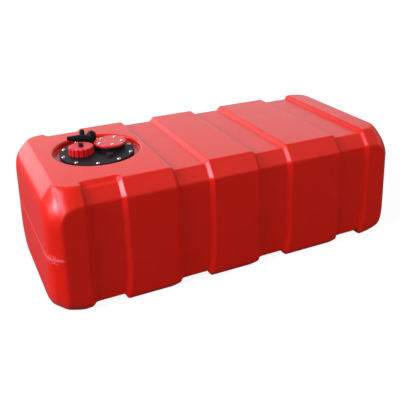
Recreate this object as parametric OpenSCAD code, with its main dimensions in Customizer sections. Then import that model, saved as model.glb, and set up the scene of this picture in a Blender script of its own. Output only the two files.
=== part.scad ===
// Inboard fuel tank for a small boat: a rotomoulded hollow body with strap grooves,
// and a round fitting plate in its top that carries the filler, vent, pick-up and sender ports.
// The origin is at the middle of the footprint, on the surface the tank stands on. +X runs along
// the tank, away from the fitting plate, and +Z is up.

/* [Tank body] */
// Length over the two end faces
tank_l = 852; // [760:1:1100]
// Width over the raised bands
tank_w = 400; // [360:1:500]
// Height of the top panel above the floor
tank_h = 272; // [230:1:340]
// Thickness of the moulded wall
wall = 6; // [4:0.5:8]
// Run of the long top bevel across the width
bevel_y = 25; // [16:1:36]
// Drop of the long top bevel down the side
bevel_z = 30; // [16:1:40]
// Length over which each end draws in to its end face
end_run = 29; // [20:1:38]
// How far each side draws in at an end face
end_side = 28; // [16:1:36]
// How far the top draws in at an end face
end_drop = 32; // [20:1:40]
// Radius of the panel corners next to the ends
panel_r = 40; // [24:1:46]
// How full the corner patches are, 0.55 being round
patch_arm = 0.43; // [0.3:0.01:0.6]
// Corner radius of the end faces
end_r = 40; // [20:1:46]
// Radius of the bottom edges of the raised bands and of the ends
base_r = 14; // [10:1:24]
// Length of the rounding at each crease
crease = 5; // [2:0.5:7]
// Rounding between an end bevel and its end face
end_lip = 3; // [1:0.5:5]
// How far that rounding draws in at the end face
end_lip_in = 4.5; // [1:0.5:7]

/* [Strap grooves] */
// Width of the raised band at each end
end_band = 79; // [74:1:100]
// Width of the two raised bands nearest the fitting plate
band_w = 108; // [100:0.5:130]
// Width of a strap groove over its wall tops
groove_w = 87; // [70:1:90]
// Depth of a strap groove
groove_depth = 9; // [5:0.5:12]
// Least radius of the bottom edges, as in a strap groove
groove_base_r = 5; // [3:0.5:9]
// Run of a groove's sloping wall
groove_run = 9; // [5:0.5:14]
// Run of the sloping edge of the flat pad round the fitting plate
pad_run = 12; // [6:0.5:16]

/* [Fitting recess] */
// Distance of the fitting plate's centre from the left end face
plate_from_end = 166; // [150:1:200]
// Distance of the fitting plate's centre behind the tank's middle line
plate_back = 11; // [0:1:30]
// Depth of the recess floor below the top panel
recess_depth = 12; // [8:0.5:18]
// Space between the plate's rim and the wall of the recess
recess_gap = 14; // [8:0.5:17]
// Radius of the rolled lip round the recess
lip_r = 6; // [3:0.5:8]
// Width of the seat between the opening in the recess floor and the plate's rim
seat_w = 14; // [13.5:0.5:18]

/* [Fitting plate] */
// Thickness of the fitting plate
plate_t = 5; // [4:0.5:8]
// Rounding of the fitting plate's upper edge
plate_soft = 1.5; // [0.5:0.25:2]
// Thickness of the gasket under the plate
gasket_t = 2; // [1:0.5:4]
// Number of plate screws
plate_screw_n = 10; // [8:1:12]
// Turn of the first plate screw from +X
plate_screw_turn = 4; // [0:1:36]
// Distance of the plate screws from the plate's edge
plate_screw_edge = 6; // [5.5:0.25:7]
// Shank diameter of a plate screw
plate_screw_d = 6; // [5:0.5:6]
// Head diameter of a plate screw
plate_head_d = 10; // [8:0.5:11]
// Head height of a plate screw
plate_head_h = 3.2; // [2:0.2:4]
// Outer diameter of a threaded insert in the recess floor
insert_d = 9; // [8:0.5:9]
// Length of a threaded insert in the recess floor
insert_l = 12; // [8:0.5:16]
// Height of the locating ring under the plate
ring_h = 6; // [3:0.5:10]
// Thickness of the locating ring under the plate
ring_t = 4; // [2:0.5:5]
// Least space between the locating ring and the corners of the pick-up's nut
nut_space = 3.5; // [3:0.5:6]

/* [Filler neck and cap] */
// Filler neck's place from the plate's centre along the tank
neck_x = -35.5; // [-38:0.5:-34]
// Filler neck's place from the plate's centre across the tank
neck_y = 1; // [-6:0.5:6]
// Inner diameter of the filler neck
neck_bore = 36; // [30:0.5:38]
// Outer diameter of the filler neck over its thread
neck_d = 44; // [42:0.5:45]
// Height of the filler neck above the plate
neck_h = 10; // [10:0.5:16]
// Outer diameter of the cap
cap_d = 56; // [54:0.5:58]
// Height of the cap's skirt below its seal
cap_skirt = 9.5; // [6:0.5:9.5]
// Thickness of the cap's top
cap_top = 4; // [3:0.5:6]
// Rounding of the cap's upper edge
cap_soft = 2; // [1:0.25:3]
// Number of flutes round the cap
flute_n = 16; // [12:1:20]
// Radius of a flute
flute_r = 3.4; // [2:0.2:4]
// Depth of a flute
flute_depth = 1.7; // [1:0.1:2]
// Thickness of the seal in the cap
cap_seal_t = 2; // [1:0.25:3]
// Radial thread clearance between the neck and the cap
thread_gap = 0.6; // [0.4:0.1:1]
// Diameter of the seat for the vent knob on the cap
vent_seat_d = 15; // [13:0.5:18]
// Height of the seat for the vent knob on the cap
vent_seat_h = 1.2; // [0.5:0.1:2]
// Width of the air channel across the cap's top
channel_w = 2.4; // [1.5:0.1:3.5]
// Depth of the air channel across the cap's top
channel_depth = 1; // [0.5:0.1:1.5]
// Direction of the air channel from +X
channel_turn = 200; // [0:1:359]

/* [Vent knob] */
// Diameter of the vent knob's stem
knob_stem_d = 6; // [4:0.5:7]
// Diameter of the vent knob's collar
knob_collar_d = 11; // [9:0.5:12]
// Height of the vent knob's collar
knob_collar_h = 2.5; // [1.5:0.25:4]
// Length of the wing across the vent knob
wing_l = 14; // [10:0.5:16]
// Thickness of the wing
wing_t = 4; // [3:0.25:5]
// Height of the wing above the collar
wing_h = 6.5; // [4:0.5:9]
// Direction of the wing from +X
wing_turn = -35; // [-90:1:90]
// Thickness of the washer under the vent knob
vent_seal_t = 1; // [0.5:0.25:2]

/* [Sender port] */
// Sender port's place from the plate's centre along the tank
sender_x = 35; // [34.5:0.5:35.5]
// Sender port's place from the plate's centre across the tank
sender_y = 11.5; // [8:0.5:12]
// Diameter of the sender pedestal
pedestal_d = 68; // [66:0.5:70]
// Height of the sender pedestal above the plate
pedestal_h = 8; // [6:0.5:14]
// Diameter of the sender hole
sender_hole_d = 40; // [36:0.5:42]
// Diameter of the circle of sender screws
sender_circle_d = 54; // [53:0.5:55]
// Number of sender screws
sender_screw_n = 5; // [4:1:6]
// Turn of the first sender screw from +X
sender_screw_turn = -23; // [-60:1:60]
// Shank diameter of a sender screw
sender_screw_d = 5; // [4:0.5:5]
// Head diameter of a sender screw
sender_head_d = 8.4; // [7:0.2:9]
// Head height of a sender screw
sender_head_h = 2.6; // [2:0.2:3.5]
// Outer diameter of a threaded insert in the pedestal
sender_insert_d = 7.4; // [6.5:0.1:8]
// Length of a threaded insert in the pedestal
sender_insert_l = 9; // [6:0.5:10]
// Diameter of the blanking cover
cover_d = 76; // [74:0.5:76]
// Thickness of the blanking cover
cover_t = 4.5; // [3:0.25:6]
// Rounding of the blanking cover's upper edge
cover_soft = 1.2; // [0.5:0.1:2]
// Thickness of the gasket under the cover
sender_gasket_t = 2; // [1:0.25:3]

/* [Fuel pick-up] */
// Elbow's place from the plate's centre along the tank
elbow_x = 2; // [0:0.5:2.5]
// Elbow's place from the plate's centre across the tank
elbow_y = 49; // [48:0.5:51]
// Diameter of the elbow's upright leg
elbow_d = 22; // [18:0.5:23]
// Height of the centre of the elbow's dome above the plate
dome_rise = 22.5; // [20:0.5:28]
// Height above the plate at which the hose tail's axis leaves the upright leg
tail_rise = 14; // [13:0.5:18]
// How far the hose tail tilts upward
tail_tilt = 10; // [2:1:14]
// Reach of the hose tail's tip from the upright leg's axis
tail_reach = 57.5; // [50:0.5:60]
// Diameter of the hose tail's plain stretch
tail_d = 16; // [14:0.5:16.5]
// Length of the barbed cone at the hose tail's tip
cone_l = 24; // [18:0.5:26]
// Diameter of the hose tail's tip
tip_d = 8.8; // [8:0.2:10]
// Number of steps along the barbed cone
barb_n = 3; // [2:1:4]
// Height of a barb
barb_h = 0.7; // [0.3:0.1:1]
// Width of the crest of a barb
barb_w = 3; // [2:0.25:4]
// Diameter of the fuel passage
fuel_bore = 6; // [4:0.25:6.5]
// Diameter of the elbow's collar
elbow_collar_d = 24; // [23:0.5:25]
// Height of the elbow's collar
elbow_collar_h = 4; // [3:0.5:6]
// Diameter of the elbow's threaded shank
shank_d = 16; // [14:0.5:17]
// Thickness of the washer under the elbow's collar
elbow_washer_t = 1.5; // [1:0.25:3]
// Width of the elbow's nut across its flats
nut_af = 22; // [21:0.5:23]
// Thickness of the elbow's nut
nut_t = 6; // [4:0.5:8]
// Outer diameter of the dip tube
dip_d = 13; // [12.5:0.25:14]
// Wall thickness of the dip tube
dip_wall = 1.5; // [1:0.25:1.75]
// Length of the elbow's spigot in the dip tube
spigot_l = 14; // [8:0.5:20]
// Diameter of the strainer
strainer_d = 24; // [20:0.5:30]
// Height of the strainer
strainer_h = 36; // [28:0.5:50]
// Wall thickness of the strainer
strainer_wall = 2; // [1.5:0.25:3]
// Height of the strainer above the highest part of the tank's inner floor
strainer_gap = 3; // [1:0.5:8]
// Number of slots round the strainer
slot_n = 12; // [8:1:14]
// Width of a strainer slot
slot_w = 2.4; // [1.5:0.1:3]

/* [Vent spigot and return plug] */
// Vent spigot's place from the plate's centre along the tank
vent_x = -16; // [-17:0.5:-15]
// Vent spigot's place from the plate's centre across the tank
vent_y = 63; // [62.5:0.5:64]
// Height of the vent spigot above its washer
vent_h = 31; // [24:0.5:34]
// Height of the vent spigot's collar
vent_collar_h = 4; // [3:0.5:6]
// Diameter of the vent spigot's plain stretch
vent_d = 10; // [9:0.1:10.4]
// Diameter over the vent spigot's bead
vent_bead_d = 12.6; // [11.6:0.1:12.6]
// Width of the crest of the vent spigot's bead
vent_bead_w = 3; // [2:0.25:5]
// Length of the slope behind the vent spigot's bead
vent_ramp = 3; // [1:0.25:4]
// Length of the taper at the vent spigot's tip
vent_tip_l = 6; // [3:0.5:8]
// Radius lost over that taper
vent_taper = 0.6; // [0.2:0.1:1]
// Diameter of the vent passage
vent_bore = 6.4; // [5:0.2:7]
// Return plug's place from the plate's centre along the tank
plug_x = 17; // [13:0.5:22]
// Return plug's place from the plate's centre across the tank
plug_y = -44; // [-48:0.5:-42]
// Width of the return plug's head across its flats
plug_af = 14; // [12:0.5:16]
// Height of the return plug's head
plug_h = 3; // [2:0.5:8]
// Diameter of the small port bosses on the plate
boss_d = 17; // [16.5:0.5:18]
// Height of the small port bosses on the plate
boss_h = 2; // [1.5:0.5:5]
// Thread diameter of the small ports
port_thread_d = 10; // [9:0.5:11]
// Thickness of the washers in the small ports
port_washer_t = 1; // [0.5:0.25:2]

/* [Fits] */
// Radial clearance of fitted pieces and of the knob's stem
fit_gap = 0.05; // [0.02:0.01:0.1]
// Radial clearance of screws and loose pieces in their holes
hole_gap = 0.3; // [0.1:0.05:0.5]
// Clearance between pieces that turn on each other
turn_gap = 0.1; // [0.05:0.05:0.3]

/* [Hidden] */
$fn = 64;
// Overrun of cuts and of pieces that join
cut = 1;
// Angle between the points of a small rounding
arc_step = 22.5;
// Steps across a bevel
bevel_n = 5;
// Share of a groove's wall that is eased at each of its corners
ease = 0.18;
// How far a bevel's corner moves along for each millimetre of depth
mitre = tan(22.5);

// Stations along the tank
half_l = tank_l / 2;
half_w = tank_w / 2;
panel_end = half_l - end_run;
pad_groove = -half_l + end_band;
groove_2 = pad_groove + groove_w + band_w;
groove_3 = groove_2 + groove_w + band_w;
groove_4 = half_l - end_band - groove_w;
strap_grooves = [groove_2, groove_3, groove_4];
all_grooves = concat([pad_groove], strap_grooves);

// Opening in the recess floor, in whole millimetres round the pick-up's nut, and the plate over it
nut_corner_r = nut_af / 2 / cos(30);
port_d = 2 * ceil(norm([elbow_x, elbow_y]) + nut_corner_r + nut_space + ring_t + hole_gap);
plate_d = port_d + 2 * seat_w;

// Levels of the fittings, from the tank's top down
plate_at = [-half_l + plate_from_end, plate_back];
seat_z = tank_h - recess_depth;
plate_z = seat_z + gasket_t;
plate_top = plate_z + plate_t;
recess_r = plate_d / 2 + recess_gap;
screw_circle_r = plate_d / 2 - plate_screw_edge;
neck_top = plate_top + neck_h;
seal_top = neck_top + cap_seal_t;
cap_z = neck_top - cap_skirt;
cap_face = seal_top + cap_top;
cap_bore_r = neck_d / 2 + thread_gap;
knob_z = cap_face + vent_seat_h + vent_seal_t + turn_gap;
pedestal_top = plate_top + pedestal_h;
cover_z = pedestal_top + sender_gasket_t;
cover_top = cover_z + cover_t;
elbow_z = plate_top + elbow_washer_t;
dome_z = plate_top + dome_rise;
tail_z = plate_top + tail_rise;
shank_end = plate_z - nut_t - 2 * cut;
small_port_z = plate_top + boss_h;
dip_r = dip_d / 2;
strainer_z = groove_depth + wall + strainer_gap;
dip_foot = strainer_z + strainer_h / 2;

// A ramp from 0 to 1 with its two corners eased over the share f
function ramp(t, f) =
    t <= -f ? 0 :
    t < f ? (t + f) * (t + f) / (4 * f) :
    t <= 1 - f ? t :
    t < 1 + f ? 1 - (1 + f - t) * (1 + f - t) / (4 * f) : 1;

// Share of the full groove depth at station x, over the grooves that start at the listed places
function groove_share(x, starts) = max([
    for (g = starts)
        min(ramp((x - g) / groove_run, ease), ramp((g + groove_w - x) / groove_run, ease))
]);

// A corner b rounded from a to c in n steps
function rounded(a, b, c, n) = [
    for (i = [0 : n])
        let (t = i / n)
        (1 - t) * (1 - t) * a + 2 * t * (1 - t) * b + t * t * c
];

// Point at the share t of a bevel from a to b that is drawn out towards k
function on_bevel(a, b, k, t) =
    let (u = 1 - t, p = a + patch_arm * (k - a), q = b + patch_arm * (k - b))
    u * u * u * a + 3 * u * u * t * p + 3 * u * t * t * q + t * t * t * b;

// Right half of a rounded outline from the bottom to the top, with its bevel from a to b
function half_outline(y, low, base, a, b, k, top, soft, n) =
    let (edge = soft / norm(b - a))
    concat(
        [
            for (i = [0 : n + 2])
                let (u = 90 * i / (n + 2))
                [y - base + base * sin(u), low + base - base * cos(u)]
        ],
        rounded(a - [0, soft], a, on_bevel(a, b, k, edge), n),
        [
            for (i = [1 : bevel_n - 1])
                on_bevel(a, b, k, edge + (1 - 2 * edge) * i / bevel_n)
        ],
        rounded(on_bevel(a, b, k, 1 - edge), b, b - [soft, 0], n),
        [[b[0] - soft - pad_run, top]]
    );

// Corner points of the half outline between the end bevels, a given skin inside the outer surface:
// its side and top, the two ends of its bevel, and the point that the bevel is drawn out towards
function panel_points(x, skin) =
    let (
        side_cut = skin + groove_depth * groove_share(x, all_grooves),
        top_cut = skin + groove_depth * groove_share(x, strap_grooves),
        reach = min(max(abs(x) - panel_end + panel_r, 0), panel_r),
        left = sqrt(panel_r * panel_r - reach * reach),
        grow = panel_r - left,
        y = half_w - side_cut,
        a = [y, tank_h - bevel_z - mitre * side_cut - grow],
        b = [half_w - bevel_y - mitre * side_cut - grow, tank_h - side_cut],
        flat = 2 * left / (panel_r + left),
        k = flat * (a + b) / 2 + (1 - flat) * [a[0], b[1]]
    )
    [[y, tank_h - top_cut], a, b, k];

// The same corner points for an end face
function end_points(skin, inset) =
    let (
        cut_in = skin + inset,
        y = half_w - end_side - cut_in,
        top = tank_h - end_drop - cut_in
    )
    [[y, top], [y, top - end_r], [y - end_r, top], [y, top]];

// How far the bottom edge of an end curves up at a station
function foot_rise(x) =
    let (t = max(abs(x) - half_l + base_r, 0))
    base_r - sqrt(base_r * base_r - t * t);

// Half outline of the body at any station
function body_half(x, skin, n) =
    let (
        q = min(max((abs(x) - panel_end) / (end_run - end_lip), 0), 1),
        inset = abs(x) >= half_l ? end_lip_in : 0,
        panel_x = min(max(x, -panel_end), panel_end),
        p = (1 - q) * panel_points(panel_x, skin) + q * end_points(skin, inset),
        foot_cut = skin + groove_depth * groove_share(x, all_grooves),
        base = max(base_r - foot_cut, groove_base_r)
    )
    half_outline(p[0][0], foot_cut + foot_rise(x), base, p[1], p[2], p[3], p[0][1], crease, n);

// Whole outline of the body at a station
function body_ring(x, skin, n) =
    let (half = body_half(x, skin, n), last = len(half) - 1)
    concat(half, [for (i = [last : -1 : 0]) [-half[i][0], half[i][1]]]);

// Stations over one groove, at the eased corners of its two walls
function groove_stations(g) = concat(
    [for (t = [-ease, ease, 1 - ease, 1 + ease]) g + t * groove_run],
    [for (t = [1 + ease, 1 - ease, ease, -ease]) g + groove_w - t * groove_run]
);

// Stations over the right end
end_stations = concat(
    [for (u = [0 : arc_step : 90]) panel_end - panel_r + panel_r * sin(u)],
    [half_l - base_r, half_l - base_r / 2, half_l - end_lip, half_l]
);
last_end = len(end_stations) - 1;
stations = concat(
    [for (i = [last_end : -1 : 0]) -end_stations[i]],
    [for (g = all_grooves) each groove_stations(g)],
    end_stations
);

// Where a station of an inner skin lies: the end bands draw in by the skin's thickness
function skin_x(x, skin) =
    let (share = max(abs(x) - half_l + end_band, 0) / end_band)
    x - sign(x) * skin * share;

// Closed body lofted through all its stations, a given skin inside the outer surface
module body_loft(skin, n) {
    rings = [for (x = stations) [for (p = body_ring(x, skin, n)) [skin_x(x, skin), p[0], p[1]]]];
    m = len(rings[0]);
    last = len(rings) - 1;
    sides = [
        for (i = [0 : last - 1])
            for (j = [0 : m - 1])
                let (k = (j + 1) % m, a = i * m + j, b = i * m + k, c = a + m, d = b + m)
                each [[a, c, d], [a, d, b]]
    ];
    caps = [[for (j = [0 : m - 1]) j], [for (j = [m - 1 : -1 : 0]) last * m + j]];
    polyhedron([for (r = rings) each r], concat(caps, sides));
}

// Places a child at the fitting plate's centre, shifted along and across the tank
module on_plate(x = 0, y = 0, z = 0) {
    translate([plate_at[0] + x, plate_at[1] + y, z]) children();
}

// Repeats a child n times on a circle of radius r, the first one turned from +X
module on_circle(r, n, turn) {
    for (i = [0 : n - 1])
        rotate(turn + 360 * i / n) translate([r, 0, 0]) children();
}

// Flat ring between two levels
module ring(outer_r, inner_r, z, h) {
    translate([0, 0, z]) difference() {
        cylinder(r = outer_r, h = h);
        translate([0, 0, -cut]) cylinder(r = inner_r, h = h + 2 * cut);
    }
}

// Disc whose upper edge is rounded with radius soft
module soft_disc(r, z, h, soft) {
    translate([0, 0, z]) rotate_extrude()
        polygon(concat(
            [[0, 0], [r, 0]],
            [for (u = [0 : arc_step : 90]) [r - soft + soft * cos(u), h - soft + soft * sin(u)]],
            [[0, h]]
        ));
}

// Domed screw head with its shank below, standing on level 0
module dome_screw(head_d, head_h, shank_d, shank_l) {
    rim = head_h / 4;
    rotate_extrude()
        polygon(concat(
            [[0, -shank_l], [shank_d / 2, -shank_l], [shank_d / 2, 0], [head_d / 2, 0]],
            [for (u = [0 : arc_step : 90]) [head_d / 2 * cos(u), rim + (head_h - rim) * sin(u)]]
        ));
}

// Threaded insert below level 0, with a blind bore
module insert(d, l, bore_d) {
    translate([0, 0, -l]) difference() {
        cylinder(d = d, h = l);
        translate([0, 0, cut]) cylinder(d = bore_d + 2 * fit_gap, h = l);
    }
}

// Material round the recess that the hollow inside leaves standing
module recess_wall() {
    boss_z = seat_z - insert_l - wall;
    on_plate(z = seat_z - wall) cylinder(r = recess_r + lip_r + wall, h = recess_depth + wall);
    on_plate(z = boss_z) cylinder(r = screw_circle_r + insert_d / 2 + wall, h = insert_l + wall);
}

// Dished space of the recess, opening out over its rolled lip
module recess_space() {
    on_plate(z = seat_z) rotate_extrude()
        polygon(concat(
            [[0, 0], [recess_r, 0]],
            [
                for (u = [0 : arc_step : 90])
                    [recess_r + lip_r - lip_r * cos(u), recess_depth - lip_r + lip_r * sin(u)]
            ],
            [[recess_r + lip_r, recess_depth + cut], [0, recess_depth + cut]]
        ));
}

module tank_shell() {
    color("#c8261e") difference() {
        body_loft(0, 2);
        difference() {
            body_loft(wall, 1);
            recess_wall();
        }
        recess_space();
        on_plate(z = seat_z - insert_l - wall - cut)
            cylinder(d = port_d, h = insert_l + wall + 2 * cut);
        on_plate(z = seat_z - insert_l)
            on_circle(screw_circle_r, plate_screw_n, plate_screw_turn)
                cylinder(d = insert_d + 2 * fit_gap, h = insert_l + cut);
    }
}

module plate_inserts() {
    color("#b08d3c") on_plate(z = seat_z)
        on_circle(screw_circle_r, plate_screw_n, plate_screw_turn)
            insert(insert_d, insert_l, plate_screw_d);
}

module plate_gasket() {
    color("#222222") difference() {
        on_plate() ring(plate_d / 2, port_d / 2, seat_z, gasket_t);
        on_plate(z = seat_z - cut)
            on_circle(screw_circle_r, plate_screw_n, plate_screw_turn)
                cylinder(d = plate_screw_d + 2 * hole_gap, h = gasket_t + 2 * cut);
    }
}

module fitting_plate() {
    through = ring_h + plate_t + pedestal_h + neck_h;
    low = plate_z - ring_h - cut;
    color("#2b2d30") difference() {
        on_plate() union() {
            soft_disc(plate_d / 2, plate_z, plate_t, plate_soft);
            ring(port_d / 2 - hole_gap, port_d / 2 - hole_gap - ring_t, plate_z - ring_h, ring_h + cut);
            translate([neck_x, neck_y, plate_z]) cylinder(d = neck_d, h = plate_t + neck_h);
            translate([sender_x, sender_y, plate_z]) cylinder(d = pedestal_d, h = plate_t + pedestal_h);
            translate([vent_x, vent_y, plate_z]) cylinder(d = boss_d, h = plate_t + boss_h);
            translate([plug_x, plug_y, plate_z]) cylinder(d = boss_d, h = plate_t + boss_h);
        }
        on_plate(neck_x, neck_y, low) cylinder(d = neck_bore, h = through + 2 * cut);
        on_plate(sender_x, sender_y, low) cylinder(d = sender_hole_d, h = through + 2 * cut);
        on_plate(elbow_x, elbow_y, low) cylinder(d = shank_d + 2 * fit_gap, h = through);
        on_plate(vent_x, vent_y, low) cylinder(d = port_thread_d + 2 * fit_gap, h = through);
        on_plate(plug_x, plug_y, low) cylinder(d = port_thread_d + 2 * fit_gap, h = through);
        on_plate(z = low)
            on_circle(screw_circle_r, plate_screw_n, plate_screw_turn)
                cylinder(d = plate_screw_d + 2 * hole_gap, h = through);
        on_plate(sender_x, sender_y, pedestal_top - sender_insert_l)
            on_circle(sender_circle_d / 2, sender_screw_n, sender_screw_turn)
                cylinder(d = sender_insert_d + 2 * fit_gap, h = sender_insert_l + cut);
    }
}

module plate_screws() {
    reach = plate_t + gasket_t + insert_l - 2 * cut;
    color("#c9ccd0") on_plate(z = plate_top)
        on_circle(screw_circle_r, plate_screw_n, plate_screw_turn)
            dome_screw(plate_head_d, plate_head_h, plate_screw_d, reach);
}

module filler_cap() {
    cap_r = cap_d / 2;
    cap_h = cap_face - cap_z;
    stem_hole_r = knob_stem_d / 2 + fit_gap;
    color("#c8261e") on_plate(neck_x, neck_y) difference() {
        union() {
            soft_disc(cap_r, cap_z, cap_h, cap_soft);
            translate([0, 0, cap_face]) cylinder(d = vent_seat_d, h = vent_seat_h);
        }
        translate([0, 0, cap_z - cut]) cylinder(r = cap_bore_r, h = seal_top - cap_z + cut);
        translate([0, 0, seal_top - cut]) cylinder(r = stem_hole_r, h = cap_top + vent_seat_h + 2 * cut);
        translate([0, 0, cap_z - cut])
            on_circle(cap_r + flute_r - flute_depth, flute_n, 0)
                cylinder(r = flute_r, h = cap_h + 2 * cut);
        rotate(channel_turn) translate([vent_seat_d / 2, -channel_w / 2, cap_face - channel_depth])
            cube([cap_r, channel_w, channel_depth + cut]);
    }
}

module cap_seal() {
    color("#222222") on_plate(neck_x, neck_y)
        ring(cap_bore_r - hole_gap, neck_bore / 2, neck_top, cap_seal_t);
}

module vent_knob() {
    color("#26282a") on_plate(neck_x, neck_y) {
        translate([0, 0, seal_top]) cylinder(d = knob_stem_d, h = knob_z - seal_top + cut);
        translate([0, 0, knob_z]) cylinder(d = knob_collar_d, h = knob_collar_h);
        translate([0, 0, knob_z + knob_collar_h - cut]) rotate(wing_turn) hull()
            for (side = [-1, 1])
                translate([side * (wing_l - wing_t) / 2, 0, 0])
                    cylinder(d = wing_t, h = wing_h + cut, $fn = 32);
    }
}

module vent_seal() {
    color("#222222") on_plate(neck_x, neck_y)
        ring(knob_collar_d / 2, knob_stem_d / 2 + hole_gap, cap_face + vent_seat_h, vent_seal_t);
}

module sender_cover() {
    color("#c8261e") on_plate(sender_x, sender_y) difference() {
        soft_disc(cover_d / 2, cover_z, cover_t, cover_soft);
        translate([0, 0, cover_z - cut])
            on_circle(sender_circle_d / 2, sender_screw_n, sender_screw_turn)
                cylinder(d = sender_screw_d + 2 * hole_gap, h = cover_t + 2 * cut);
    }
}

module sender_gasket() {
    color("#222222") on_plate(sender_x, sender_y) difference() {
        ring(pedestal_d / 2, sender_hole_d / 2, pedestal_top, sender_gasket_t);
        translate([0, 0, pedestal_top - cut])
            on_circle(sender_circle_d / 2, sender_screw_n, sender_screw_turn)
                cylinder(d = sender_screw_d + 2 * hole_gap, h = sender_gasket_t + 2 * cut);
    }
}

module sender_screws() {
    reach = cover_t + sender_gasket_t + sender_insert_l - 2 * cut;
    color("#c9ccd0") on_plate(sender_x, sender_y, cover_top)
        on_circle(sender_circle_d / 2, sender_screw_n, sender_screw_turn)
            dome_screw(sender_head_d, sender_head_h, sender_screw_d, reach);
}

module sender_inserts() {
    color("#b08d3c") on_plate(sender_x, sender_y, pedestal_top)
        on_circle(sender_circle_d / 2, sender_screw_n, sender_screw_turn)
            insert(sender_insert_d, sender_insert_l, sender_screw_d);
}

// Hose tail along +Z from the elbow's axis to its tip, with a barb at each step of its cone
module hose_tail() {
    tail_r = tail_d / 2;
    cone_z = tail_reach - cone_l;
    step_l = cone_l / barb_n;
    step_r = (tail_r - tip_d / 2) / barb_n;
    rotate_extrude()
        polygon(concat(
            [[0, 0], [tail_r, 0], [tail_r, cone_z]],
            [
                for (i = [1 : barb_n - 1])
                    let (r = tail_r - i * step_r, z = cone_z + i * step_l)
                    each [[r - barb_h, z], [r, z], [r, z + barb_w]]
            ],
            [[tip_d / 2, tail_reach], [0, tail_reach]]
        ));
}

// Puts a child that stands along +Z in the hose tail's direction
module along_tail() {
    translate([0, 0, tail_z]) rotate([0, tail_tilt - 90, 0]) children();
}

module fuel_elbow() {
    color("#26282a") on_plate(elbow_x, elbow_y) difference() {
        union() {
            translate([0, 0, elbow_z]) cylinder(d = elbow_collar_d, h = elbow_collar_h);
            translate([0, 0, elbow_z]) cylinder(d = elbow_d, h = dome_z - elbow_z);
            translate([0, 0, dome_z]) sphere(d = elbow_d);
            along_tail() hose_tail();
            translate([0, 0, shank_end]) cylinder(d = shank_d, h = elbow_z - shank_end + cut);
            translate([0, 0, shank_end - spigot_l])
                cylinder(r = dip_r - dip_wall - fit_gap, h = spigot_l + cut);
        }
        translate([0, 0, shank_end - spigot_l - cut])
            cylinder(d = fuel_bore, h = tail_z - shank_end + spigot_l + cut);
        along_tail() cylinder(d = fuel_bore, h = tail_reach + cut);
        translate([0, 0, tail_z]) sphere(d = fuel_bore);
    }
}

module elbow_washer() {
    color("#222222") on_plate(elbow_x, elbow_y)
        ring(elbow_collar_d / 2, shank_d / 2 + hole_gap, plate_top, elbow_washer_t);
}

module elbow_nut() {
    color("#26282a") on_plate(elbow_x, elbow_y, plate_z - nut_t) difference() {
        cylinder(r = nut_corner_r, h = nut_t, $fn = 6);
        translate([0, 0, -cut]) cylinder(d = shank_d + 2 * fit_gap, h = nut_t + 2 * cut);
    }
}

module dip_tube() {
    color("#e8e6df") on_plate(elbow_x, elbow_y)
        ring(dip_r, dip_r - dip_wall, dip_foot, shank_end - dip_foot);
}

module strainer() {
    inner_h = strainer_h - 2 * strainer_wall;
    slot_h = inner_h - 2 * strainer_wall;
    color("#e8e6df") on_plate(elbow_x, elbow_y, strainer_z) difference() {
        cylinder(d = strainer_d, h = strainer_h);
        translate([0, 0, strainer_wall]) cylinder(d = strainer_d - 2 * strainer_wall, h = inner_h);
        translate([0, 0, strainer_h / 2]) cylinder(r = dip_r + fit_gap, h = strainer_h);
        translate([0, 0, 2 * strainer_wall])
            on_circle(strainer_d / 2 - strainer_wall, slot_n, 0)
                translate([-strainer_wall, -slot_w / 2, 0]) cube([3 * strainer_wall, slot_w, slot_h]);
    }
}

module vent_spigot() {
    base_z = small_port_z + port_washer_t;
    crest = vent_h - vent_tip_l;
    bead_foot = crest - vent_bead_w;
    color("#26282a") on_plate(vent_x, vent_y) difference() {
        union() {
            translate([0, 0, base_z]) rotate_extrude()
                polygon([
                    [0, 0], [boss_d / 2, 0], [boss_d / 2, vent_collar_h],
                    [vent_d / 2, vent_collar_h], [vent_d / 2, bead_foot - vent_ramp],
                    [vent_bead_d / 2, bead_foot], [vent_bead_d / 2, crest],
                    [vent_d / 2 - vent_taper, vent_h], [0, vent_h]
                ]);
            translate([0, 0, plate_z]) cylinder(d = port_thread_d, h = base_z - plate_z + cut);
        }
        translate([0, 0, plate_z - cut])
            cylinder(d = vent_bore, h = vent_h + base_z - plate_z + 2 * cut);
    }
}

module vent_washer() {
    color("#222222") on_plate(vent_x, vent_y)
        ring(boss_d / 2, port_thread_d / 2 + hole_gap, small_port_z, port_washer_t);
}

module return_plug() {
    base_z = small_port_z + port_washer_t;
    color("#26282a") on_plate(plug_x, plug_y) {
        translate([0, 0, base_z]) cylinder(d = plug_af / cos(30), h = plug_h, $fn = 6);
        translate([0, 0, plate_z]) cylinder(d = port_thread_d, h = base_z - plate_z + cut);
    }
}

module plug_washer() {
    color("#222222") on_plate(plug_x, plug_y)
        ring(boss_d / 2, port_thread_d / 2 + hole_gap, small_port_z, port_washer_t);
}

tank_shell();
plate_inserts();
plate_gasket();
fitting_plate();
plate_screws();
filler_cap();
cap_seal();
vent_knob();
vent_seal();
sender_cover();
sender_gasket();
sender_screws();
sender_inserts();
fuel_elbow();
elbow_washer();
elbow_nut();
dip_tube();
strainer();
vent_spigot();
vent_washer();
return_plug();
plug_washer();
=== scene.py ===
"""Dresses a boat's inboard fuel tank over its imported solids.

The tank body is lofted again with finer, softer creases, and the fittings on its plate get their
rounded edges, flutes, sockets and barbs. Sizes are in millimetres and become metres in the meshes.
"""

import math

import bmesh
import bpy
import numpy as np
from mathutils import Matrix, Vector


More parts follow.
